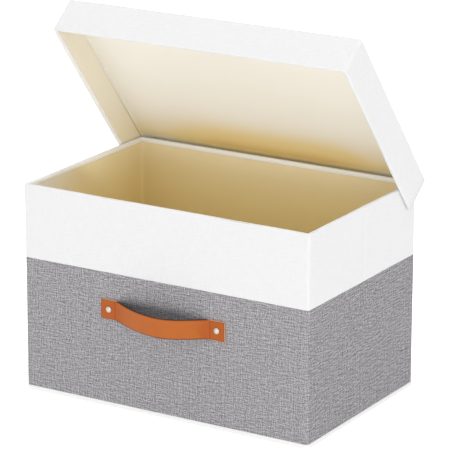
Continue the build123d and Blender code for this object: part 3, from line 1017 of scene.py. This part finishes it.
def strapPath():
    # Points along the strap's middle, close together, and the way to each
    half = strap["thickness"] / 2
    ends = strapHigh.x
    bend = ends - strap["tab"]
    corners = [(-ends, half), (-bend - 3 * mm, half), (-bend, half + 0.05 * mm)]
    corners += [(x * mm, off * mm) for x, off in strap["bow"]]
    corners += [(bend, half + 0.05 * mm), (bend + 3 * mm, half), (ends, half)]
    points = []
    for i in range(len(corners) - 1):
        a, b, c, d = (Vector(corners[clamp(j, 0, len(corners) - 1)]) for j in (i - 1, i, i + 1, i + 2))
        for t in (step / 24 for step in range(24)):
            points.append(0.5 * (2 * b + (c - a) * t + (2 * a - 5 * b + 4 * c - d) * t * t
                                 + (3 * b - a - 3 * c + d) * t ** 3))
    points.append(Vector(corners[-1]))
    along = [0.0]
    for a, b in zip(points, points[1:]):
        along.append(along[-1] + (b - a).length)
    return points, along


def onPath(points, along, s):
    # The place at s along the path, and the direction there
    low = clamp(bisect_right(along, s) - 1, 0, len(along) - 2)
    t = (s - along[low]) / (along[low + 1] - along[low])
    ahead = (points[min(low + 2, len(points) - 1)] - points[max(low - 1, 0)]).normalized()
    return points[low].lerp(points[low + 1], t), ahead


def roundOff(bm, chosen, radius):
    edges = [e for e in bm.edges if chosen(abs(e.verts[0].co.z - e.verts[1].co.z))]
    bmesh.ops.bevel(bm, geom=edges, offset=radius, segments=4, profile=0.5, affect="EDGES")


def makeStrap():
    points, along = strapPath()
    length, width, thick = along[-1], strapHigh.z - strapLow.z, strap["thickness"]
    bm = bmesh.new()
    bmesh.ops.create_cube(bm, size=1)
    bmesh.ops.scale(bm, vec=(length, width, thick), verts=bm.verts)
    bmesh.ops.translate(bm, vec=(length / 2, 0, 0), verts=bm.verts)
    roundOff(bm, lambda rise: rise > thick / 2, strap["tipRadius"])
    roundOff(bm, lambda rise: rise < 1e-6, strap["edgeRadius"])
    cutAcross(bm, (1, 0, 0), evenly(0, length, strap["step"])[2:-2])
    cutAcross(bm, (0, 1, 0), evenly(-width / 2, width / 2, strap["sideStep"])[1:-1])
    markPoints(bm, "back", lambda p: p.z > thick * 0.4)
    flat = bm.verts.layers.float_vector.new("flat")
    bendAt = strap["tab"]
    rivetAt = strapHigh.x - rivetX
    for v in bm.verts:
        s, across, off = v.co
        v[flat] = v.co
        if off < 0:
            # Pressed down round the rivets, and creased where the tab turns into the bow
            for place in (rivetAt, length - rivetAt):
                reach = math.hypot(s - place, across) / strap["dentReach"]
                off += strap["dent"] * math.exp(-reach ** 4)
            for place in (bendAt, length - bendAt):
                off += strap["dent"] * math.exp(-(((s - place) / strap["creaseReach"]) ** 2))
        point, ahead = onPath(points, along, s)
        place = point + Vector((ahead.y, -ahead.x)) * off
        v.co = (place.x, frontY - place.y, strapMiddle + across)
    bmesh.ops.recalc_face_normals(bm, faces=bm.faces)
    addClothMap(bm)
    makeLeather(length, width / 2, bendAt, rivetAt)
    finishPiece(bm, "leather_strap", "box", "tan leather", ["handle_strap"])


def makeRivets():
    # Each cap is a dome within a groove and a flat ring
    bm = bmesh.new()
    radius, rimHigh, groove = rivet["radius"], rivet["rim"], rivet["groove"]
    cap, rise = radius * rivet["capShare"], rivet["dome"] - rimHigh
    angles = [math.pi / 16 * i for i in range(8)]
    section = [(cap * math.sin(a), rimHigh + rise * math.cos(a)) for a in angles]
    section += [(cap, rimHigh - groove * 0.3), (cap + 0.12 * mm, rimHigh - groove),
                (radius - 0.2 * mm, rimHigh - 0.02 * mm), (radius, rimHigh - 0.2 * mm), (radius, 0),
                (radius * 0.9, -0.5 * mm)]
    for side in (-1, 1):
        centre = Vector((side * rivetX, frontY - strap["thickness"], strapMiddle))
        verts = [bm.verts.new(centre + Vector((r, -h, 0))) for r, h in section]
        edges = [bm.edges.new(pair) for pair in zip(verts, verts[1:])]
        bmesh.ops.spin(bm, geom=verts + edges, cent=centre, axis=(0, 1, 0), angle=math.tau, steps=40,
                       use_merge=True)
    bmesh.ops.remove_doubles(bm, verts=bm.verts, dist=1e-6)
    bmesh.ops.recalc_face_normals(bm, faces=bm.faces)
    faceAway(bm, Vector((0, 1, 0)))
    finishPiece(bm, "strap_rivets", "box", "polished nickel", ["handle_rivets"])


makeStrap()
makeRivets()
print("strap and rivets made")


# Stitches

# The rows' ways are counted from the edge of their cloth
stitch = inMm(length=2.6, gap=1.0, width=0.42, height=0.3, lipWay=1.5, bindingWay=1.4, skirtWay=1.3,
              stripWay=1.8, wallRow1=6.2, wallRow2=9.7)


def stopsAlong(start, end, outward):
    # The middle, direction and outward side of each stitch on a line
    pitch = stitch["length"] + stitch["gap"]
    ahead = (end - start).normalized()
    count = int((end - start).length / pitch)
    return [(start + ahead * pitch * (i + 0.5), ahead, outward) for i in range(count)]


def stopsAround(plan, inset, height, side):
    # Rows on the straight sides of a plan, which face out where side is 1 and in where it is -1
    r = plan.radius
    x0, x1, y0 = plan.x0 + inset, plan.x1 - inset, plan.y0 + inset
    y1 = plan.y1 - (0 if plan.openRear else inset)
    rows = [((x0 + r, y0), (x1 - r, y0), (0, -1)), ((x1, y0 + r), (x1, y1 - r), (1, 0)),
            ((x1 - r, y1), (x0 + r, y1), (0, 1)), ((x0, y1 - r), (x0, y0 + r), (-1, 0))]
    if plan.openRear:
        rows.pop(2)
    return [stop for a, b, out in rows
            for stop in stopsAlong(Vector((*a, height)), Vector((*b, height)), Vector((*out, 0)) * side)]


def sewRow(name, body, stops):
    bm = bmesh.new()
    size = Matrix.Diagonal((stitch["length"] / 2, stitch["width"] / 2, stitch["height"] / 2, 1))
    for middle, ahead, outward in stops:
        turned = Matrix((ahead, outward.cross(ahead).normalized(), outward)).transposed().to_4x4()
        matrix = Matrix.Translation(middle) @ turned @ size
        bmesh.ops.create_icosphere(bm, subdivisions=1, radius=1, matrix=matrix)
    finishPiece(bm, name, body, "white thread", turn=lidTurn if body == "lid" else None)


def makeStitches():
    rimZ = upperHigh.z - walls["lipHeight"] + stitch["lipWay"]
    sewRow("rim_stitches", "box", stopsAround(boxPlan, walls["rimWidth"] + walls["lipProud"], rimZ, -1))
    footZ = binding["height"] - stitch["bindingWay"]
    sewRow("foot_stitches", "box", stopsAround(boxPlan, -binding["proud"] * 0.9, footZ, 1))
    skirtZ = skirtLow + lid["lipHeight"] - stitch["skirtWay"]
    sewRow("skirt_stitches", "lid", stopsAround(lidPlan, lid["skirt"] + lid["lipProud"], skirtZ, -1))
    half = (flapHigh.x - flapLow.x) / 2 - 3 * mm
    wallY = upperHigh.y + hinge["sewnThickness"]
    for number in (1, 2):
        right, left = (Vector((x, wallY, seam.z - stitch[f"wallRow{number}"])) for x in (half, -half))
        sewRow(f"back_wall_stitches_{number}", "box", stopsAlong(right, left, Vector((0, 1, 0))))
    stripY = -hinge["round"] - hinge["onLid"] + stitch["stripWay"]
    left, right = (Vector((x, stripY, lidHigh.z + hinge["thickness"])) for x in (-half, half))
    sewRow("lid_rear_stitches", "lid", stopsAlong(left, right, Vector((0, 0, 1))))


makeStitches()
for name, node in frame["nodes"].items():
    if not node.hide_render:
        node.data.materials.clear()
        node.data.materials.append(materials["polished nickel" if "rivet" in name else "grey board"])
print("stitches made, boards finished")


# Floor, light and camera

studio = {
    "floor": (0.86, 0.86, 0.86),
    "floorGlow": 0.35,
    "seenGlow": 0.45,  # what the camera sees of the floor is lifted to white
    "sky": 0.775,
    # Soft boxes: place, size, power in watts and what they face. A weak one inside lifts the lining.
    "lamps": {
        "front": ((1.7, -4.8, 0.42), (5.6, 0.8), 46.0, (0, 0, 0.25)),
        "side": ((4.2, -0.9, 0.9), (2.0, 1.6), 17.5, (0, 0, 0.25)),
        "top": ((0.2, -0.5, 3.2), (2.4, 2.4), 31.0, (0, 0, 0.25)),
        "inside": ((0.0, -0.01, 0.262), (0.36, 0.06), 0.068, (0, 0.59, 1.062)),
    },
}


def makeFloor():
    tree = startMaterial("pale floor")
    lit, seen = (tree.node("AddShader", {
        0: tree.node("BsdfDiffuse", {"Color": (*colour, 1)}),
        1: tree.node("Emission", {"Color": (1, 1, 1, 1), "Strength": studio[glow]}),
    }) for colour, glow in ((studio["floor"], "floorGlow"), ((1, 1, 1), "seenGlow")))
    camera = tree.node("LightPath", out="Is Camera Ray")
    tree.node("OutputMaterial", {"Surface": tree.node("MixShader", {0: camera, 1: lit, 2: seen})})
    bm = startRectangle(60, 60)
    bmesh.ops.translate(bm, vec=(0, 0, -0.5 * mm), verts=bm.verts)
    addMesh(bm, "floor", "pale floor")


def makeLight():
    world = bpy.data.worlds.new("studio")
    world.use_nodes = True
    world.node_tree.nodes.clear()
    tree = Wire(world.node_tree)
    camera, glossy, through = (tree.node("LightPath", out=kind)
                               for kind in ("Is Camera Ray", "Is Glossy Ray", "Is Transmission Ray"))
    seen = camera.calc("MAXIMUM", glossy).calc("MAXIMUM", through)
    strength = seen + (1 - seen) * studio["sky"]
    background = tree.node("Background", {"Color": (1, 1, 1, 1), "Strength": strength})
    tree.node("OutputWorld", {"Surface": background})
    scene.world = world
    for name, (place, size, power, target) in studio["lamps"].items():
        lamp = bpy.data.lights.new(name, "AREA")
        lamp.energy, lamp.shape = power, "RECTANGLE"
        lamp.size, lamp.size_y = size
        softBox = addObject(name, lamp)
        softBox.location = place
        softBox.rotation_euler = (Vector(target) - softBox.location).to_track_quat("-Z", "Y").to_euler()
        softBox.visible_camera = False


view = {"place": (1.9039, -3.1022, 1.3287), "yaw": -31.438, "pitch": -16.860, "roll": 0.084, "lens": 231.93}


def makeCamera():
    data = bpy.data.cameras.new("camera")
    data.lens, data.sensor_width, data.clip_end = view["lens"], 36.0, 60
    matrix = Matrix.Translation(view["place"])
    for angle, axis in ((-view["yaw"], "Z"), (90 + view["pitch"], "X"), (view["roll"], "Z")):
        matrix = matrix @ Matrix.Rotation(math.radians(angle), 4, axis)
    camera = addObject("camera", data)
    camera.matrix_world = matrix
    scene.camera = camera


makeFloor()
makeLight()
makeCamera()
scene.view_settings.view_transform = "Standard"
print("floor, light and camera made")

bpy.context.view_layer.update()
